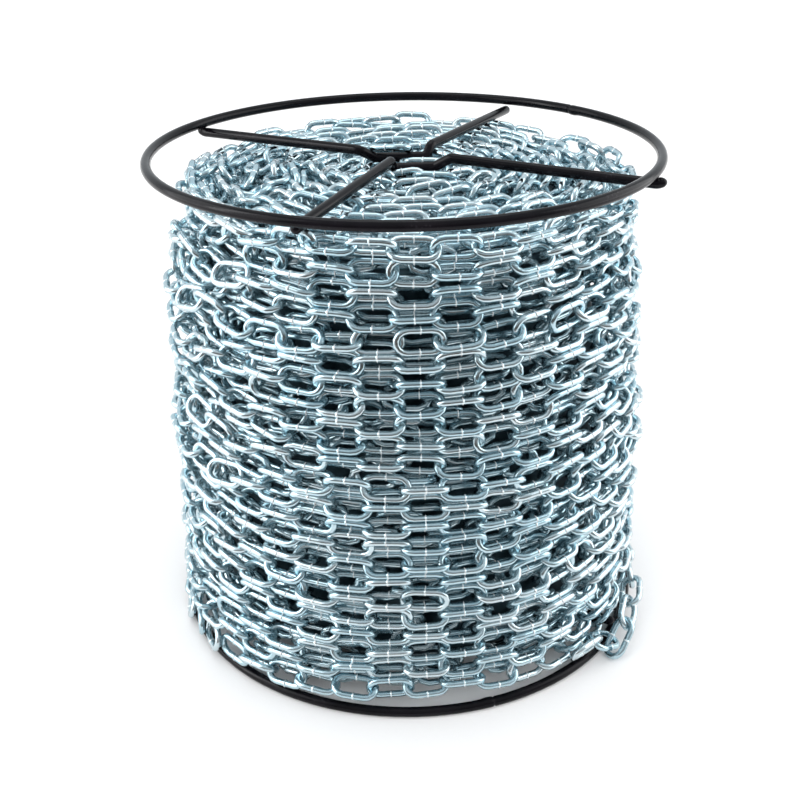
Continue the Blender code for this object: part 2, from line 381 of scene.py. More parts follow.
@dataclass(frozen=True)
class BlackPaint(Finish):
    """Semi-gloss black paint on bent steel wire, rubbed grey in places."""

    name: str = "black_paint"
    deep: tuple = (0.002, 0.002, 0.003)
    faded: tuple = (0.006, 0.005, 0.007)
    rubbed: tuple = (0.030, 0.029, 0.033)
    roughness: tuple = (0.11, 0.22)
    specular: float = 0.13
    cloud_scale: float = 45.0
    speck_scale: float = 420.0
    gloss_scale: float = 130.0
    peel_scale: float = 650.0
    peel_depth: float = 0.0003

    def shader(self, graph: NodeGraph, place: Socket) -> bpy.types.Node:
        """Clouded paint with a fine orange peel, rubbed where the clouds and the specks meet."""
        clouds = graph.noise(place, self.cloud_scale, 4.0)
        specks = graph.noise(place, self.speck_scale, 3.0)
        color = graph.ramp(clouds, ((0.3, self.deep), (0.75, self.faded)))
        rubs = graph.math("MULTIPLY", graph.span(clouds, 0.55, 0.75, 0.0, 1.0),
                          graph.span(specks, 0.58, 0.70, 0.0, 1.0))
        base = graph.blend("MIX", rubs, color, (*self.rubbed, 1.0))
        rough = graph.span(graph.noise(place, self.gloss_scale, 3.0), 0.3, 0.7, *self.roughness)
        peel = graph.total(graph.noise(place, self.peel_scale), 0.7, specks, 0.3)
        bump = graph.add("Bump", Height=peel, Strength=0.22, Distance=self.peel_depth).outputs["Normal"]
        return graph.add("BsdfPrincipled", Base_Color=base, Roughness=rough, Normal=bump,
                         Specular_IOR_Level=self.specular)


@dataclass(frozen=True)
class PaleFloor(Finish):
    """The plain white paper that the reel stands on."""

    name: str = "pale_floor"
    color: tuple = (0.86, 0.86, 0.865)
    grain_scale: float = 300.0
    grain_tone: float = 0.99
    roughness: float = 0.6

    def shader(self, graph: NodeGraph, place: Socket) -> bpy.types.Node:
        """Paper with a faint grain."""
        low = tuple(self.grain_tone * part for part in self.color)
        color = graph.ramp(graph.noise(place, self.grain_scale, 3.0), ((0.3, low), (0.7, self.color)))
        return graph.add("BsdfPrincipled", Base_Color=color, Roughness=self.roughness)


@dataclass(frozen=True)
class StraightLink:
    """One straight-sided link of round wire, butt-welded in the middle of its bars."""

    wire_radius: float = 0.0023
    pitch: float = 0.0246
    width: float = 0.0188
    bead_places: tuple = (-0.0062, -0.0011, -0.0006, -0.0002, 0.0002, 0.0006, 0.0011, 0.0062)
    bead_swell: tuple = (1.0, 1.0, 1.0, 1.15, 1.15, 1.0, 1.0, 1.0)
    sides: dict = field(default_factory=lambda: {Detail.FINE: 8, Detail.PLAIN: 6})
    arc_steps: dict = field(default_factory=lambda: {Detail.FINE: 7, Detail.PLAIN: 4})

    @property
    def end_radius(self) -> float:
        """Radius of the wire's centre line round each end."""
        return self.width / 2 - self.wire_radius

    @property
    def half_bar(self) -> float:
        """Half the length of a straight bar."""
        return self.pitch / 2 + self.wire_radius - self.end_radius

    def line(self, detail: Detail) -> tuple[Array, Array, Array]:
        """The wire's centre line in the link's own plane, from end to end and back.

        Args:
            detail: How finely to make it.

        Returns:
            The points, the wire's radius at each and 1 where the weld is.
        """
        points, swell, weld = [], [], []
        steps = self.arc_steps[detail]
        for side in (1.0, -1.0):
            for step in range(steps + 1):
                angle = math.pi * (step / steps - 0.5)
                points.append((side * (self.half_bar + self.end_radius * math.cos(angle)),
                               side * self.end_radius * math.sin(angle), 0.0))
                swell.append(1.0)
                weld.append(0.0)
            if detail is Detail.FINE:
                for place, size in zip(self.bead_places, self.bead_swell):
                    points.append((-side * place, side * self.end_radius, 0.0))
                    swell.append(size)
                    weld.append(1.0 if size != 1.0 else 0.0)
        return np.array(points), self.wire_radius * np.array(swell), np.array(weld)

    def shape(self, detail: Detail) -> tuple[Array, Array, Array, Array]:
        """The link's mesh at the origin: along X, across Y.

        Args:
            detail: How finely to make it.

        Returns:
            Its corners, faces, weld marks for each corner and wire coordinates for each face corner.
        """
        line, radii, weld = self.line(detail)
        sides = self.sides[detail]
        along = unit(np.roll(line, -1, axis=0) - np.roll(line, 1, axis=0))
        outward = np.cross(along, UP)
        turn = FULL_TURN * (np.arange(sides) + 0.5) / sides
        ring = outward[:, None, :] * np.cos(turn)[None, :, None] + UP * np.sin(turn)[None, :, None]
        # A ring with few sides is made larger, so that it has the girth of the round wire
        fuller = math.pi / (sides * math.sin(math.pi / sides))
        corners = line[:, None, :] + fuller * radii[:, None, None] * ring
        faces = tube_faces(len(line), sides, True)
        row, side = np.divmod(np.arange(len(faces)), sides)
        start, end = row / len(line), (row + 1) / len(line)
        near, far = side / sides, (side + 1) / sides
        wire = np.stack((start, near, start, far, end, far, end, near), axis=-1).reshape(-1, 2)
        return corners.reshape(-1, 3), faces, np.repeat(weld, sides), wire

    def beads(self, count: int) -> Array:
        """Points evenly spaced along the wire's centre line."""
        line = self.line(Detail.PLAIN)[0]
        loop = np.concatenate((line, line[:1]))
        return points_along(loop, walked_along(loop)[-1] * np.arange(count) / count)


@dataclass
class Links:
    """Links laid out in space: their centres, and their axes along, across and through as columns."""

    centres: Array
    axes: Array

    @classmethod
    def between(cls, starts: Array, ends: Array, rolls: Array) -> "Links":
        """Lay links from bearing point to bearing point.

        Args:
            starts: Where each link begins.
            ends: Where each link ends.
            rolls: Turn of each about its length; at 0 its width lies along the radius.

        Returns:
            The links.
        """
        centres = (starts + ends) / 2
        along = unit(ends - starts)
        outward = centres * (1.0, 1.0, 0.0)
        outward = unit(outward - along * np.sum(outward * along, axis=1, keepdims=True))
        upward = np.cross(outward, along)
        across = outward * np.cos(rolls)[:, None] + upward * np.sin(rolls)[:, None]
        return cls(centres, np.stack((along, across, np.cross(along, across)), axis=-1))

    @classmethod
    def joined(cls, groups: list["Links"]) -> "Links":
        """Several groups as one."""
        return cls(np.concatenate([group.centres for group in groups]),
                   np.concatenate([group.axes for group in groups]))

    def carried(self, points: Array) -> Array:
        """Points of a link at the origin, carried to each of the links."""
        return np.einsum("nij,kj->nki", self.axes, points) + self.centres[:, None, :]

    def some(self, start: int, end: int) -> "Links":
        """The links from start up to end."""
        return Links(self.centres[start:end], self.axes[start:end])


@dataclass
class LinkMaker:
    """Turns laid-out links into meshes."""

    link: StraightLink
    seed: int = 7

    def build(self, name: str, links: Links, detail: Detail, material: Material) -> Piece:
        """Make one object out of many links.

        Args:
            name: The piece's name.
            links: Where the links lie.
            detail: How finely they are made.
            material: Their finish.

        Returns:
            The new object.
        """
        corners, faces, weld, wire = self.link.shape(detail)
        placed = links.carried(corners)
        count = len(links.centres)
        numbers = faces[None, :, :] + (np.arange(count) * len(corners))[:, None, None]
        obj = new_piece(name, placed.reshape(-1, 3), numbers.reshape(-1, 4).tolist(), material)
        tones = np.random.default_rng(self.seed + count).random(count)
        self.mark(obj.data, "tone", np.repeat(tones, len(corners)))
        self.mark(obj.data, "weld", np.tile(weld, count))
        layer = obj.data.uv_layers.new(name="along_wire")
        layer.data.foreach_set("uv", np.tile(wire, (count, 1)).astype(np.float32).ravel())
        return obj

    @staticmethod
    def mark(mesh: bpy.types.Mesh, name: str, values: Array) -> None:
        """Store one number for each corner of a mesh."""
        attribute = mesh.attributes.new(name, "FLOAT", "POINT")
        attribute.data.foreach_set("value", values.astype(np.float32))


@dataclass
class Waviness:
    """A smooth unevenness over the winding's face, as a sum of waves round and up it."""

    size: float
    seed: int
    waves: int = 7
    most_round: int = 9
    most_up: float = 90.0

    def at(self, angle: Array, height: Array) -> Array:
        """The unevenness at places given by angle and height."""
        dice = np.random.default_rng(self.seed)
        total = np.zeros_like(angle)
        for _ in range(self.waves):
            around = dice.integers(1, self.most_round + 1)
            upward = dice.uniform(-self.most_up, self.most_up)
            phase = dice.uniform(0.0, FULL_TURN)
            total = total + np.sin(around * angle + upward * height + phase)
        return self.size * total / math.sqrt(self.waves / 2)


@dataclass(frozen=True)
class Hill:
    """A smooth hill of height 1 round the axis, with its middle and its half width in degrees."""

    middle: float
    half_width: float

    def at(self, angle: Array) -> Array:
        """Its height at these angles."""
        away = np.abs((angle - math.radians(self.middle) + math.pi) % FULL_TURN - math.pi)
        return smooth_step(1.0 - away / math.radians(self.half_width))


@dataclass(frozen=True)
class Slope:
    """A smooth rise from 0 to 1 from its start on, downward where its length is below 0."""

    start: float
    length: float

    def at(self, height: Array) -> Array:
        """How far it has risen at these heights."""
        return smooth_step((height - self.start) / self.length)


@dataclass(frozen=True)
class Places:
    """The places of the winding where its turns do not lie in order."""

    jumble_hill: Hill = Hill(196.0, 66.0)
    jumble_slope: Slope = Slope(0.10, 0.16)
    jumble_steepness: float = 1.5
    jumble_least: float = 0.35
    heap_hill: Hill = Hill(92.0, 26.0)
    heap_slope: Slope = Slope(0.285, 0.035)
    heap_height: float = 0.0005
    heap_radii: tuple = (0.095, 0.1625)
    spread_hills: tuple = (Hill(208.0, 72.0), Hill(265.0, 60.0), Hill(2.0, 55.0))
    spread_sizes: tuple = (0.0080, 0.0020, 0.0050)
    spread_slope: Slope = Slope(0.085, -0.06)
    level_hill: Hill = Hill(-85.0, 60.0)
    sag_slope: Slope = Slope(0.060, -0.045)
    sag_depth: float = 0.0074
    shoulder_hill: Hill = Hill(190.0, 80.0)
    shoulder_slope: Slope = Slope(0.285, 0.045)
    shoulder_depth: float = 0.0085
    recess_hill: Hill = Hill(-28.0, 30.0)
    recess_heights: tuple = (0.019, 0.046)
    recess_depth: float = 0.0030
    recess_fullness: float = 0.4

    def jumble(self, angle: Array, height: Array) -> Array:
        """How much the turns lie across one another: most at the left and high up."""
        upward = self.jumble_least + (1.0 - self.jumble_least) * self.jumble_slope.at(height)
        return upward * np.minimum(1.0, self.jumble_steepness * self.jumble_hill.at(angle))

    def heap(self, angle: Array, radius: Array) -> Array:
        """How far the turns across the top are heaped up at the back."""
        inner, outer = self.heap_radii
        outward = np.clip((radius - inner) / (outer - inner), 0.0, 1.0)
        return self.heap_height * outward * self.heap_hill.at(angle)

    def spread(self, angle: Array, height: Array) -> Array:
        """How far the lowest rows bulge over the ring at the left and in front."""
        total = np.zeros_like(angle)
        for hill, size in zip(self.spread_hills, self.spread_sizes):
            total = total + size * hill.at(angle)
        return total * self.spread_slope.at(height)

    def sag(self, angle: Array, height: Array) -> Array:
        """How far the lowest rows hang down onto the ring, least of all in front."""
        return self.sag_depth * (1.0 - self.level_hill.at(angle)) * self.sag_slope.at(height)

    def shoulder(self, angle: Array, height: Array) -> Array:
        """How far the highest rows at the left draw in."""
        return self.shoulder_depth * self.shoulder_slope.at(height) * self.shoulder_hill.at(angle)

    def recess(self, angle: Array, height: Array) -> Array:
        """How far the outer rows give way to the slack turn."""
        bottom, top = self.recess_heights
        level = (height > bottom) & (height < top)
        return self.recess_depth * level * self.recess_hill.at(angle) ** self.recess_fullness


def strand_rolls(swing: Array, mess: Array, jitter: float, tumble: float,
                 dice: np.random.Generator) -> Array:
    """Turns of a strand's links about their length, every other one a quarter turn further.

    Args:
        swing: Slow turning along the strand.
        mess: How much each link lies out of order.
        jitter: Spread of the small turns of all links.
        tumble: Spread of the large turns of links that lie out of order.
        dice: Where the chances come from.

    Returns:
        The turn of each link.
    """
    count = len(swing)
    rolls = FIRST_ROLL + swing + dice.normal(0.0, jitter, count)
    rolls = rolls + mess * dice.normal(0.0, tumble, count)
    return rolls + (np.arange(count) % 2) * QUARTER_TURN


@dataclass(frozen=True)
class Band:
    """Some rows of a layer that have one number of links a turn."""

    rows: int
    links_a_turn: float
    low_radius: float
    high_radius: float


@dataclass
class ChainLayer:
    """One layer of the winding: level rows up the reel, each stepping up to the next at the back."""

    bands: tuple
    bottom: float
    row_pitch: float
    seed: int
    places: Places = Places()
    start_angle: float = math.radians(110.0)
    step_share: float = 0.13
    radius_wave: float = 0.0008
    height_wave: float = 0.0009
    height_most_up: float = 60.0
    roll_wave: float = math.radians(30.0)
    roll_most_round: int = 12
    roll_most_up: float = 200.0
    roll_jitter: float = math.radians(8.0)
    jumble_height: float = 0.0060
    jumble_radius: float = 0.0036
    jumble_waves: int = 9
    jumble_roll: float = math.radians(38.0)
    most_turns: int = 64

    def walk(self) -> tuple[Array, Array, Array]:
        """Go along the strand: the turns made so far, and the row and the plain radius at each joint."""
        turns, radii = [np.zeros(1)], [np.array((self.bands[0].low_radius,))]
        done = 0
        for band in self.bands:
            count = int(round(band.rows * band.links_a_turn))
            share = np.arange(1, count + 1) / count
            turns.append(done + band.rows * share)
            radii.append(band.low_radius + (band.high_radius - band.low_radius) * share)
            done += band.rows
        turns, radii = np.concatenate(turns), np.concatenate(radii)
        row = np.floor(turns) + smooth_step((turns % 1.0 - 1.0 + self.step_share) / self.step_share)
        return turns, np.minimum(row, done - 1.0), radii

    def links(self) -> Links:
        """Lay the layer's links along its rows."""
        turns, row, radius = self.walk()
        angle = self.start_angle + FULL_TURN * turns
        height = self.bottom + (row + 0.5) * self.row_pitch
        mess = self.places.jumble(angle, height)
        dice = np.random.default_rng(self.seed + 2)
        phases = dice.uniform(0.0, FULL_TURN, self.most_turns)[np.floor(turns).astype(int)]
        side = np.where(np.floor(turns) % 2 == 0, 1.0, -1.0)
        sway = np.sin(self.jumble_waves * angle + phases)
        radius = radius + Waviness(self.radius_wave, self.seed).at(angle, height)
        radius = radius - self.places.recess(angle, height) + mess * self.jumble_radius * side
        radius = radius + self.places.spread(angle, height) - self.places.shoulder(angle, height)
        uneven = Waviness(self.height_wave, self.seed + 1, most_up=self.height_most_up)
        height = height + uneven.at(angle, height)
        height = height + mess * self.jumble_height * sway - self.places.sag(angle, height)
        height = height + self.places.heap(angle, radius) * self.places.heap_slope.at(height)
        joints = ring_points(angle, radius, height)
        turning = Waviness(self.roll_wave, self.seed + 3, most_round=self.roll_most_round,
                           most_up=self.roll_most_up)
        rolls = strand_rolls(turning.at(angle, height), mess, self.roll_jitter, self.jumble_roll, dice)
        return Links.between(joints[:-1], joints[1:], rolls[:-1])


@dataclass
class EndTurns:
    """Turns of chain across one end of the winding, in a slow spiral from the hub outward."""

    height: float
    inner_radius: float
    outer_radius: float
    seed: int
    places: Places = Places()
    turn_width: float = 0.01425
    spacing: float = 0.0244
    height_wave: float = 0.0010
    radius_wave: float = 0.0010
    roll_wave: float = math.radians(32.0)
    roll_jitter: float = math.radians(12.0)
    jumble_radius: float = 0.0060
    jumble_radius_waves: int = 5
    jumble_height: float = 0.0045
    jumble_height_waves: int = 7
    jumble_roll: float = math.radians(55.0)
    orderly_width: float = 0.05
    most_turns: int = 32

    def links(self) -> Links:
        """Lay the links along the spiral."""
        angles = [0.0]
        radius = self.inner_radius
        while radius < self.outer_radius:
            angles.append(angles[-1] + 2 * math.asin(self.spacing / 2 / radius))
            radius = self.inner_radius + self.turn_width * angles[-1] / FULL_TURN
        angle = np.array(angles)
        outward = self.turn_width * angle / FULL_TURN
        mess = self.places.jumble(angle, self.height) * smooth_step(outward / self.orderly_width)
        dice = np.random.default_rng(self.seed + 2)
        phases = dice.uniform(0.0, FULL_TURN, self.most_turns)[(angle / FULL_TURN).astype(int)]
        radius = self.inner_radius + outward + Waviness(self.radius_wave, self.seed).at(angle, outward)
        radius = radius + mess * self.jumble_radius * np.sin(self.jumble_radius_waves * angle + phases)
        height = self.height + Waviness(self.height_wave, self.seed + 1).at(angle, outward)
        sway = np.sin(self.jumble_height_waves * angle + phases[::-1])
        height = height + mess * self.jumble_height * sway
        height = height + self.places.heap(angle, radius)
        joints = ring_points(angle, radius, height)
        swing = Waviness(self.roll_wave, self.seed + 3).at(angle, outward)
        rolls = strand_rolls(swing, mess, self.roll_jitter, self.jumble_roll, dice)
        return Links.between(joints[:-1], joints[1:], rolls[:-1])


@dataclass
class Settling:
    """Pushes links that overlap apart as stiff bodies, a little at a time.

    Each link's wire is taken as a row of beads. Fixed beads stand for what the links lie against.
    The rounds make the overlaps smaller but leave some, of about 1 mm where a strand's links meet.
    """

    link: StraightLink
    fixed: Array
    fixed_radii: Array
    rounds: int = 48
    search_every: int = 6
    bead_radius: float = 0.00240
    margin: float = 0.0022
    push: float = 0.75
    pull_home: float = 0.05
    most_move: float = 0.0006
    most_turn: float = math.radians(5.0)
    low_wall: tuple = (-0.1757, -0.1757, 0.0030)
    high_wall: tuple = (0.1757, 0.1757, 0.3492)

    @staticmethod
    def neighbour_cells() -> list[tuple]:
        """Steps to half of the cells about a cell, and last to itself, so each pair is found once."""
        steps = (-1, 0, 1)
        cells = [(x, y, z) for x in steps for y in steps for z in steps]
        return cells[:len(cells) // 2 + 1]

    def close_pairs(self, points: Array, owners: Array, radii: Array) -> tuple:
        """Find pairs of beads of different links that nearly touch, by sorting them into cells."""
        cell = 2 * float(radii.max()) + self.margin
        keys = np.floor(points / cell).astype(np.int64)
        keys -= keys.min(axis=0) - 1
        span = keys.max(axis=0) + 2
        codes = (keys[:, 0] * span[1] + keys[:, 1]) * span[2] + keys[:, 2]
        order = np.argsort(codes, kind="stable")
        ranked = codes[order]
        numbers = np.arange(len(points))
        firsts, seconds = [], []
        for x, y, z in self.neighbour_cells():
            shift = (x * span[1] + y) * span[2] + z
            low = np.searchsorted(ranked, codes + shift, "left")
            count = np.searchsorted(ranked, codes + shift, "right") - low
            first = np.repeat(numbers, count)
            offset = np.arange(count.sum()) - np.repeat(np.cumsum(count) - count, count)
            second = order[np.repeat(low, count) + offset]
            keep = owners[first] != owners[second]
            if shift == 0:
                keep &= first < second
            first, second = first[keep], second[keep]
            apart = np.linalg.norm(points[first] - points[second], axis=1)
            near = apart < radii[first] + radii[second] + self.margin
            firsts.append(first[near])
            seconds.append(second[near])
        return np.concatenate(firsts), np.concatenate(seconds)

    def run(self, links: Links) -> Links:
        """Settle the links.

        Args:
            links: Where they are laid.

        Returns:
            Where the last round leaves them.
        """
        count = len(links.centres)
        home, centres, axes = links.centres, links.centres.copy(), links.axes.copy()
        shape = self.link.beads(BEADS_A_LINK)
        owners = np.concatenate((np.repeat(np.arange(count), BEADS_A_LINK),
                                 np.full(len(self.fixed), count)))
        radii = np.concatenate((np.full(count * BEADS_A_LINK, self.bead_radius), self.fixed_radii))
        for number in range(self.rounds):
            arms = np.einsum("nij,kj->nki", axes, shape)
            points = np.concatenate(((arms + centres[:, None, :]).reshape(-1, 3), self.fixed))
            if number % self.search_every == 0:
                first, second = self.close_pairs(points, owners, radii)
            gap = points[first] - points[second]
            apart = np.linalg.norm(gap, axis=1)
            deep = radii[first] + radii[second] - apart
            hit = deep > 0.0
            one, two = first[hit], second[hit]
            move = gap[hit] * (0.5 * deep[hit] / np.maximum(apart[hit], SMALLEST))[:, None]
            arm = np.concatenate((arms.reshape(-1, 3), np.zeros_like(self.fixed)))
            outside = np.clip(points, self.low_wall, self.high_wall) - points
            far = np.nonzero(np.any(outside[:count * BEADS_A_LINK] != 0.0, axis=1))[0]
            # For each link: its shift, the beads that give it, its turning and the arms' squares
            total = np.zeros((count + 1, 8))
            for bead, shove in ((one, move), (two, -move), (far, outside[far])):
                lever = arm[bead]
                sums = np.column_stack((shove, np.ones(len(bead)), np.cross(lever, shove),
                                        np.sum(lever * lever, axis=1)))
                for column in range(total.shape[1]):
                    total[:, column] += np.bincount(owners[bead], sums[:, column], count + 1)
            total = total[:-1]
            shift = self.push * total[:, :3] / np.maximum(total[:, 3:4], 1.0)
            turn = self.push * total[:, 4:7] / np.maximum(total[:, 7:8], SMALLEST)
            centres += self.limited(shift, self.most_move) + self.pull_home * (home - centres)
            axes = self.turned(axes, self.limited(turn, self.most_turn))
            if number % self.search_every == 0:
                LOG.info("round %d: %d overlaps, mean %.2f mm, deepest %.2f mm", number, len(one),
                         1000 * deep[hit].mean(), 1000 * deep[hit].max())
        points = Links(centres, axes).carried(self.link.beads(4 * BEADS_A_LINK))
        centres += np.maximum(self.low_wall - points.min(axis=1), 0.0)
        centres -= np.maximum(points.max(axis=1) - self.high_wall, 0.0)
        return Links(centres, axes)

    @staticmethod
    def limited(moves: Array, most: float) -> Array:
        """The same moves, none longer than most."""
        length = np.linalg.norm(moves, axis=1, keepdims=True)
        return moves * np.minimum(1.0, most / np.maximum(length, SMALLEST))

    @staticmethod
    def turned(axes: Array, turns: Array) -> Array:
        """Turn the axes by small rotation vectors and square them up."""
        along = unit(axes[:, :, 0] + np.cross(turns, axes[:, :, 0]))
        across = axes[:, :, 1] + np.cross(turns, axes[:, :, 1])
        across = unit(across - along * np.sum(along * across, axis=1, keepdims=True))
        return np.stack((along, across, np.cross(along, across)), axis=-1)


@dataclass
class SlackTurn:
    """The slack end of the outer turn: down the side to the floor and back over the lower ring."""

    strand_links: int = 3
    start_angle: float = math.radians(-11.3)
    start_radius: float = 0.1758
    start_height: float = 0.0296
    radius_step: float = 0.0046
    height_step: float = 0.0028
    link_gap: float = 0.0005
    floor_foot: tuple = (math.radians(-38.2), 0.1881, 0.0052)
    return_start: tuple = (math.radians(-35.2), 0.1823, 0.0079)
    return_middle: tuple = (math.radians(-42.2), 0.1803, 0.0180)
    return_end: tuple = (math.radians(-49.4), 0.1809, 0.0209)
    rolls: tuple = (78.0, -27.0, 56.0, -19.0, 21.0, 120.0)
    join_places: tuple = ((-3.4, 0.1695, 0.0312), (4.8, 0.1665, 0.0322), (13.2, 0.1655, 0.0320))
    join_rolls: tuple = (-40.0, 50.0, -40.0)

    def links(self) -> Links:
        """The slack links where their solids lie."""
        link = StraightLink()
        reach = (link.pitch - self.link_gap) ** 2 - self.radius_step ** 2 - self.height_step ** 2
        angle = self.start_angle
        joints = []
        for step in range(self.strand_links + 1):
            radius = self.start_radius + step * self.radius_step
            joints.append(polar(angle, radius, self.start_height - step * self.height_step))
            angle -= math.sqrt(reach) / (radius + self.radius_step / 2)
        starts = joints + [polar(*self.return_start), polar(*self.return_middle)]
        ends = joints[1:] + [polar(*self.floor_foot), polar(*self.return_middle), polar(*self.return_end)]
        return Links.between(np.array(starts), np.array(ends), np.radians(self.rolls))

    def joining_links(self) -> Links:
        """The links by which the slack turn goes on into the winding."""
        joints = [polar(self.start_angle, self.start_radius, self.start_height)]
        joints += [polar(math.radians(angle), radius, height) for angle, radius, height in self.join_places]
        joints = np.array(joints)
        return Links.between(joints[1:], joints[:-1], np.radians(self.join_rolls))

    def build(self, zinc: Material) -> Piece:
        """Make the slack links."""
        piece = LinkMaker(StraightLink()).build("slack_turn", self.links(), Detail.FINE, zinc)
        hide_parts(*(f"slack_link_{number}" for number in range(1, len(self.rolls) + 1)))
        return piece


@dataclass(frozen=True)
class HubLinks:
    """The loose links about the upper hub: by its wires, at the bore's front rim and in the bore."""

    by_wires: tuple = (((0.0035, 0.0060, 0.3395), (0.0240, 0.0040, 0.3375), 12.0),
                       ((0.0230, 0.0290, 0.3400), (0.0420, 0.0180, 0.3400), 25.0),
                       ((-0.0200, 0.0230, 0.3450), (0.0010, 0.0130, 0.3465), 35.0))
    at_rim: tuple = ((-0.0300, -0.0170, 0.3325), (-0.0120, -0.0250, 0.3345), (0.0110, -0.0235, 0.3350),
                     (0.0320, -0.0260, 0.3345), (0.0480, -0.0080, 0.3330))
    in_bore: tuple = ((-0.0190, -0.0050, 0.3240), (0.0020, -0.0110, 0.3275), (0.0220, -0.0020, 0.3250))
    rolls: tuple = (38.0, -42.0, 30.0, -50.0, 40.0, -35.0)

    def links(self) -> Links:
        """Lay the links."""
        starts, ends, rolls = (list(column) for column in zip(*self.by_wires))
        for joints in (self.at_rim, self.in_bore):
            starts += joints[:-1]
            ends += joints[1:]
        rolls += self.rolls
        return Links.between(np.array(starts), np.array(ends), np.radians(rolls))


@dataclass
class Winding:
    """The wound chain: outer rows, the layer behind them, turns across the ends and an inside painted dark
    as shade.
    """

    zinc: Material
    shade: Material
    slack: SlackTurn
    wires: Array
    bottom: float = 0.0149
    top: float = 0.3374
    rows: int = 23
    bore_radius: float = 0.0245
    outer_pieces: int = 4
    solid_quarters: int = 4
    inside_rows: tuple = (0.6, 20.7)
    inside_depth: float = 0.0095
    rib_depth: float = 0.004
    inside_steps: int = 96
    outer_bands: tuple = (Band(12, 43.03, 0.1677, 0.1677), Band(7, 41.03, 0.1628, 0.1602),
                          Band(4, 39.03, 0.1560, 0.1528))
    second_bands: tuple = (Band(12, 39.37, 0.1536, 0.1536), Band(7, 37.9, 0.1490, 0.1462),
                           Band(3, 36.2, 0.1418, 0.1400))

    @property
    def row_pitch(self) -> float:
        """Height from one row to the next."""
        return (self.top - self.bottom) / self.rows

    def core(self) -> Piece:
        """The inner turns that hardly show, as one ribbed solid with its bore, painted dark as shade."""
        low, high = (self.bottom + row * self.row_pitch for row in self.inside_rows)
        ribs = self.rows * 2
        heights = np.linspace(low, high, ribs + 1)
        edges = np.cumsum((0,) + tuple(band.rows for band in self.second_bands))
        radii = [band.low_radius for band in self.second_bands] + [self.second_bands[-1].high_radius]
        outer = np.interp((heights - self.bottom) / self.row_pitch, edges, radii) - self.inside_depth
        outer -= np.where(np.arange(ribs + 1) % 2 == 0, self.rib_depth, 0.0)
        section = [(self.bore_radius, high), *zip(outer[::-1], heights[::-1]), (self.bore_radius, low)]
        turn = FULL_TURN * np.arange(self.inside_steps) / self.inside_steps
        rings = np.array([[polar(angle, radius, height) for radius, height in section] for angle in turn])
        faces = tube_faces(self.inside_steps, len(section), True)
        return new_piece("winding_inside", rings.reshape(-1, 3), faces.tolist(), self.shade)

    def laid(self) -> dict[str, Links]:
        """Lay all groups of links that rest on one another."""
        half = self.row_pitch / 2
        layers = {
            "outer_rows": ChainLayer(self.outer_bands, self.bottom, self.row_pitch, seed=11),
            "second_rows": ChainLayer(self.second_bands, self.bottom, self.row_pitch, seed=31,
                                      start_angle=math.radians(80.0), jumble_radius=0.0012,
                                      jumble_height=0.0030),
            "top_turns": EndTurns(self.top - half, inner_radius=0.0285, outer_radius=0.1405, seed=51),
            "top_turns_below": EndTurns(self.top - 3 * half, inner_radius=0.0400, outer_radius=0.1265,
                                        seed=61, jumble_height=0.001),
            "hub_links": HubLinks(),
        }
        laid = {name: layer.links() for name, layer in layers.items()}
        return laid | {"joining_links": self.slack.joining_links()}

    def settled(self) -> dict[str, Links]:
        """The same groups once overlapping links have been pushed apart as far as the rounds go."""
        link = StraightLink()
        laid = self.laid()
        beads = self.slack.links().carried(link.beads(BEADS_A_LINK)).reshape(-1, 3)
        fixed = np.concatenate((beads, self.wires))
        radii = np.concatenate((np.full(len(beads), link.wire_radius),
                                np.full(len(self.wires), WIRE_RADIUS)))
        rest = Settling(link, fixed, radii).run(Links.joined(list(laid.values())))
        groups, start = {}, 0
        for name, links in laid.items():
            groups[name] = rest.some(start, start + len(links.centres))
            start += len(links.centres)
        return groups

    def build(self) -> list[Piece]:
        """Make all pieces of the winding."""
        maker = LinkMaker(StraightLink())
        groups = self.settled()
        outer = groups.pop("outer_rows")
        pieces = [self.core()]
        edges = np.linspace(0, len(outer.centres), self.outer_pieces + 1).astype(int)
        for number, (start, end) in enumerate(zip(edges, edges[1:]), start=1):
            rows = outer.some(start, end)
            pieces.append(maker.build(f"outer_rows_{number}", rows, Detail.FINE, self.zinc))
        for name, links in groups.items():
            detail = Detail.PLAIN if name in ("second_rows", "top_turns_below") else Detail.FINE
            pieces.append(maker.build(name, links, detail, self.zinc))
        bottom = EndTurns(self.bottom + self.row_pitch / 2, inner_radius=0.0330, outer_radius=0.1500,
                          seed=71, jumble_height=0.0, jumble_radius=0.0)
        pieces.append(maker.build("bottom_turns", bottom.links(), Detail.PLAIN, self.zinc))
        for piece in pieces:
            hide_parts(*(f"chain_winding_{part}" for part in range(1, self.solid_quarters + 1)))
        return pieces


@dataclass(frozen=True)
class SpokeWire:
    """One V-shaped spoke wire of the upper flange, in plan.

    It comes in along its first arm, goes down a slope to dip beside the axis, and goes up an elbow
    and out along its second arm.
    """

    place: str
    in_angle: float
    slope_top: tuple
    run_start: tuple
    run_end: tuple
    elbow_top: tuple
    out_angle: float
    out_sweep: float


SPOKE_WIRES = (
    SpokeWire("back", math.radians(148.9), (-0.0312, 0.0116), (-0.0195, 0.0163), (0.0165, 0.0180),
              (0.0195, 0.0225), math.radians(60.9), math.radians(16.0)),
    SpokeWire("front", math.radians(-24.0), (0.0320, -0.0152), (0.0212, -0.0108), (-0.0075, -0.0128),
              (-0.0088, -0.0212), math.radians(-112.0), math.radians(-30.0)),
)


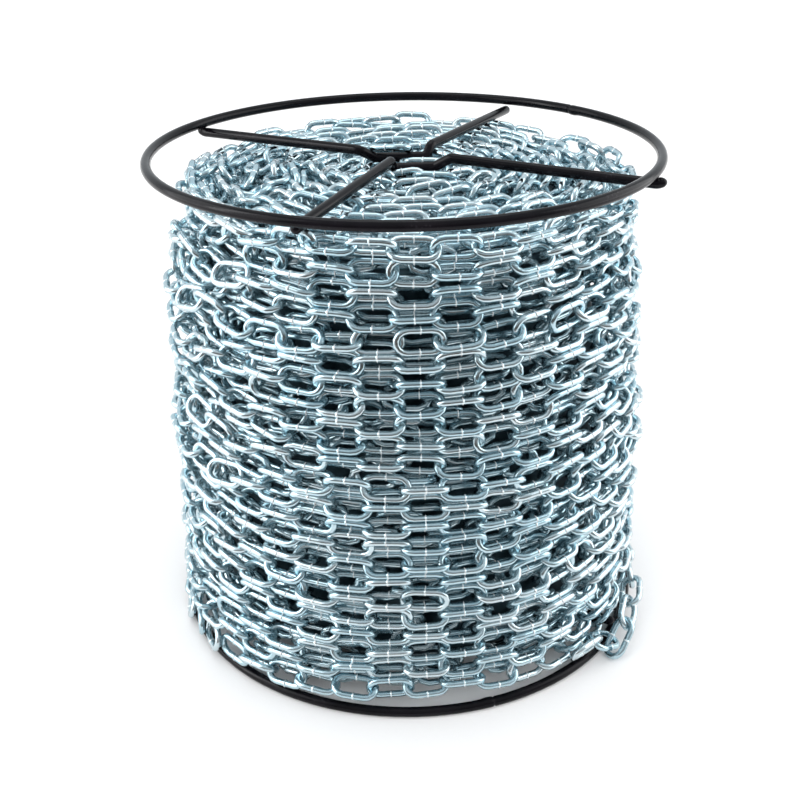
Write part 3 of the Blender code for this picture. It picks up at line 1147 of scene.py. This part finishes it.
@dataclass
class WireReel:
    """The black wire reel: two flange rings, two V-shaped spoke wires in each, and the core bars."""

    paint: Material
    rise_at_hub: float = 0.0040
    hub_dip: float = 0.0068
    bend_radius: float = 0.0050
    long_hook: float = math.radians(55.0)
    short_hook: float = math.radians(15.0)
    bottom_turn: float = math.radians(-6.0)
    bend_steps: int = 8
    ring_steps: int = 240
    seam_reach: float = 0.014
    seam_burr: float = 0.09
    burr_offset: float = 0.0042
    burr_length: float = 0.0040
    seam_groove: float = 0.20
    groove_length: float = 0.0007
    seam_steps: int = 49
    top_seam: float = math.radians(41.3)
    bottom_seam: float = math.radians(-71.2)
    core_bars: int = 4
    bar_steps: int = 12
    bead_spacing: float = 0.003

    def ring(self, name: str, height: float, seam_angle: float) -> Piece:
        """One flange ring, with the swelling and the groove of its butt weld.

        Args:
            name: The piece's name, which is also its node's.
            height: Height of its centre line.
            seam_angle: Where its weld is.

        Returns:
            The ring.
        """
        near_seam = np.linspace(-self.seam_reach, self.seam_reach, self.seam_steps)
        last = FULL_TURN * RING_RADIUS - self.seam_reach
        away = np.concatenate((near_seam, np.linspace(self.seam_reach, last, self.ring_steps)[1:-1]))
        turn = seam_angle + away / RING_RADIUS
        burr = self.seam_burr * np.exp(-((away + self.burr_offset) / self.burr_length) ** 2)
        groove = self.seam_groove * np.exp(-(away / self.groove_length) ** 2)
        inward = WIRE_RADIUS * burr * (1.0 if height == BOTTOM_RING_HEIGHT else -1.0)
        line = ring_points(turn, RING_RADIUS, height + inward)
        return WireRun(line, WIRE_RADIUS * (1 + burr - groove), closed=True).build(name, self.paint)

    def corner(self, before: Array, corner: Array, after: Array) -> list[Array]:
        """Points of the arc that rounds one corner of a wire's path."""
        inward, outward = unit(before - corner), unit(after - corner)
        half = math.acos(float(inward.dot(outward))) / 2
        reach = self.bend_radius / math.tan(half)
        centre = corner + unit(inward + outward) * (self.bend_radius / math.sin(half))
        first, last = corner + inward * reach - centre, corner + outward * reach - centre
        turn = math.pi - 2 * half
        points = []
        for step in range(self.bend_steps + 1):
            share = step / self.bend_steps
            points.append(centre + (first * math.sin((1 - share) * turn)
                                    + last * math.sin(share * turn)) / math.sin(turn))
        return points

    def hook(self, angle: float, full_sweep: float) -> list[Array]:
        """The end of a spoke, bent up round the ring or short of it, from its tip inward."""
        points = []
        sweeps = np.linspace(full_sweep, 0.0, self.bend_steps + 1) if full_sweep > 0 else (full_sweep,)
        for sweep in sweeps:
            points.append(polar(angle, RING_RADIUS + WRAP_RADIUS * math.sin(sweep),
                                -WRAP_RADIUS * math.cos(sweep)))
        return points

    def spoke_line(self, wire: SpokeWire, first_sweep: float, last_sweep: float) -> Array:
        """One spoke wire of the upper flange, with heights measured from the ring's centre."""
        spoke_height = -WRAP_RADIUS + self.rise_at_hub
        hub_height = spoke_height - self.hub_dip
        first = self.hook(wire.in_angle, first_sweep)
        last = self.hook(wire.out_angle, last_sweep)[::-1]
        corners = [first[-1], np.array((*wire.slope_top, spoke_height)),
                   np.array((*wire.run_start, hub_height)), np.array((*wire.run_end, hub_height)),
                   np.array((*wire.elbow_top, spoke_height)), last[0]]
        points = list(first)
        for before, corner, after in zip(corners, corners[1:], corners[2:]):
            points += self.corner(before, corner, after)
        return np.array(points + last)

    def spoke_lines(self) -> dict[str, Array]:
        """The centre lines of all four spoke wires, by flange and place."""
        lines = {}
        flanges = (("top", TOP_RING_HEIGHT, 1.0, 0.0, self.long_hook),
                   ("bottom", BOTTOM_RING_HEIGHT, -1.0, self.bottom_turn, self.short_hook))
        for flange, height, upright, turn, sweep in flanges:
            rotation = np.array(Matrix.Rotation(turn, 3, "Z"))
            for wire in SPOKE_WIRES:
                line = self.spoke_line(wire, sweep, wire.out_sweep) * (1.0, 1.0, upright)
                lines[f"{flange}_spoke_wire_{wire.place}"] = line @ rotation.T + (0.0, 0.0, height)
        return lines

    def bar_line(self, number: int) -> Array:
        """The ends of one core bar's centre line."""
        low, high = (np.array(corner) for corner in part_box(f"core_bar_{number}"))
        middle = (low + high) / 2
        return np.array(((middle[0], middle[1], low[2]), (middle[0], middle[1], high[2])))

    def wire_beads(self) -> Array:
        """Points along the spokes, the core bars and the rings, for the chain to lie against."""
        beads = []
        for line in self.spoke_lines().values():
            beads.append(points_along(line, np.arange(0.0, walked_along(line)[-1], self.bead_spacing)))
        for number in range(1, self.core_bars + 1):
            low, high = self.bar_line(number)
            beads.append(np.array([(low[0], low[1], height)
                                   for height in np.arange(low[2], high[2], self.bead_spacing)]))
        count = int(FULL_TURN * RING_RADIUS / self.bead_spacing)
        for height in (TOP_RING_HEIGHT, BOTTOM_RING_HEIGHT):
            beads.append(np.array([polar(FULL_TURN * step / count, RING_RADIUS, height)
                                   for step in range(count)]))
        return np.concatenate(beads)

    def bars(self) -> list[Piece]:
        """The straight wires between the hubs."""
        bars = []
        for number in range(1, self.core_bars + 1):
            line = np.linspace(*self.bar_line(number), self.bar_steps)
            radii = np.full(self.bar_steps, WIRE_RADIUS)
            bar = WireRun(line, radii).build(f"core_wire_{number}", self.paint)
            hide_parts(f"core_bar_{number}")
            bars.append(bar)
        return bars

    def build(self) -> list[Piece]:
        """Make the reel's pieces and let each stand for its solid."""
        pieces = []
        for name, height, seam in (("top_ring", TOP_RING_HEIGHT, self.top_seam),
                                   ("bottom_ring", BOTTOM_RING_HEIGHT, self.bottom_seam)):
            piece = self.ring("flange_" + name, height, seam)
            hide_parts(name)
            pieces.append(piece)
        for node, line in self.spoke_lines().items():
            piece = WireRun.domed(line, WIRE_RADIUS).build("painted_" + node, self.paint)
            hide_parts(node)
            pieces.append(piece)
        pieces += self.bars()
        return pieces


@dataclass(frozen=True)
class SoftLight:
    """A soft area light that faces the reel's middle."""

    name: str
    place: tuple
    size: tuple
    power: float
    color: tuple = (1.0, 1.0, 1.0)
    aim: tuple = (0.0, 0.0, 0.17)

    def build(self) -> Piece:
        """Hang the light."""
        data = bpy.data.lights.new(self.name, "AREA")
        data.shape = "RECTANGLE"
        data.size, data.size_y = self.size
        data.energy = self.power
        data.color = self.color
        light = in_scene(self.name, data)
        light.location = self.place
        toward = Vector(self.aim) - light.location
        light.rotation_euler = toward.to_track_quat("-Z", "Y").to_euler()
        light.visible_camera = False
        light.visible_diffuse = False
        return light


LIGHTS = (
    SoftLight("overhead", (0.0, 0.3, 1.8), (1.2, 0.8), 5.5, (0.97, 0.99, 1.0)),
    SoftLight("left_side", (-1.3, -0.2, 0.7), (1.7, 1.6), 15.0),
    SoftLight("left_strip", (-1.5, -0.3, 0.9), (0.3, 1.3), 6.5, (0.98, 0.99, 1.0)),
    SoftLight("right_side", (1.3, 0.1, 0.6), (1.4, 1.4), 12.0),
)


@dataclass
class Studio:
    """Pale floor, soft light and the camera at the photograph's angle."""

    eye: tuple = (-0.0052, -0.7788, 0.5429)
    pitch: float = 0.4606
    roll: float = -0.0164
    lens: float = 51.04
    floor_front: float = 0.75
    floor_reach: float = 14.0
    sensor: float = 36.0
    clip: tuple = (0.01, 50.0)
    front_fade: tuple = (-0.75, -0.15)
    seen_heights: tuple = (-0.3, 1.0)
    seen_around: tuple = (0.85, 0.90, 0.94)
    seen_in_front: tuple = ((0.0, (0.10, 0.08, 0.07)), (0.34, (0.18, 0.145, 0.13)),
                            (0.50, (0.46, 0.47, 0.48)), (1.0, (0.56, 0.59, 0.62)))
    lit_around: tuple = ((0.0, (0.20, 0.20, 0.20)), (0.35, (0.80, 0.80, 0.81)), (0.7, (1.0, 1.0, 1.0)))
    lit_in_front: tuple = (1.7, 1.7, 1.7)
    fill: tuple = (1.40, 1.40, 1.40)

    def camera(self) -> Piece:
        """Place the camera."""
        data = bpy.data.cameras.new("camera")
        data.lens = self.lens
        data.sensor_width = self.sensor
        data.clip_start, data.clip_end = self.clip
        forward = Vector((0.0, math.cos(self.pitch), -math.sin(self.pitch)))
        up = Vector((0.0, math.sin(self.pitch), math.cos(self.pitch)))
        right = Vector((1.0, 0.0, 0.0))
        rolled_right = right * math.cos(self.roll) + up * math.sin(self.roll)
        rolled_up = up * math.cos(self.roll) - right * math.sin(self.roll)
        axes = Matrix((rolled_right, rolled_up, -forward)).transposed().to_4x4()
        camera = in_scene("camera", data)
        camera.matrix_world = Matrix.Translation(Vector(self.eye)) @ axes
        bpy.context.scene.camera = camera
        return camera

    def floor(self) -> Piece:
        """The plain floor, which ends in front of the reel."""
        mesh = bpy.data.meshes.new("floor")
        near, far, side = -self.floor_front, self.floor_reach, self.floor_reach
        mesh.from_pydata([(-side, near, 0.0), (side, near, 0.0), (side, far, 0.0), (-side, far, 0.0)], [],
                         [(0, 1, 2, 3)])
        mesh.materials.append(PaleFloor().make())
        floor = in_scene("floor", mesh)
        return floor

    def world(self) -> None:
        """A pale room, dimmer and warmer low down in front, and a brighter one for diffuse light."""
        world = bpy.data.worlds.new("studio")
        bpy.context.scene.world = world
        graph = NodeGraph(world)
        direction = graph.add("TexCoord").outputs["Generated"]
        parts = graph.add("SeparateXYZ", Vector=direction)
        front = graph.span(parts.outputs["Y"], *self.front_fade, 1.0, 0.0)
        upward = graph.span(parts.outputs["Z"], *self.seen_heights, 0.0, 1.0)
        height = graph.ramp(upward, self.seen_in_front)
        seen = graph.blend("MIX", front, (*self.seen_around, 1.0), height)
        path = graph.add("LightPath")
        around = graph.ramp(parts.outputs["Z"], self.lit_around)
        lit = graph.blend("MIX", front, around, (*self.lit_in_front, 1.0))
        lit = graph.blend("MULTIPLY", 1.0, lit, (*self.fill, 1.0))
        soft = graph.blend("MIX", path.outputs["Is Diffuse Ray"], seen, lit)
        shown = graph.blend("MIX", path.outputs["Is Camera Ray"], soft, (1.0, 1.0, 1.0, 1.0))
        back = graph.add("Background", Color=shown, Strength=1.0)
        graph.add("OutputWorld", Surface=back.outputs["Background"])

    def build(self) -> None:
        """Set up the studio."""
        self.camera()
        self.floor()
        self.world()
        for light in LIGHTS:
            light.build()
        bpy.context.scene.view_settings.view_transform = "Standard"


def main() -> None:
    """Build the studio, the reel and the chain, in that order."""
    logging.basicConfig(level=logging.INFO, format="%(name)s: %(message)s")
    Studio().build()
    reel = WireReel(BlackPaint().make())
    LOG.info("reel: %d pieces", len(reel.build()))
    zinc = ZincPlate().make()
    slack = SlackTurn()
    winding = Winding(zinc, ShadedZinc().make(), slack, reel.wire_beads())
    LOG.info("winding: %d pieces", len(winding.build()))
    slack.build(zinc)


if __name__ == "__main__":
    main()
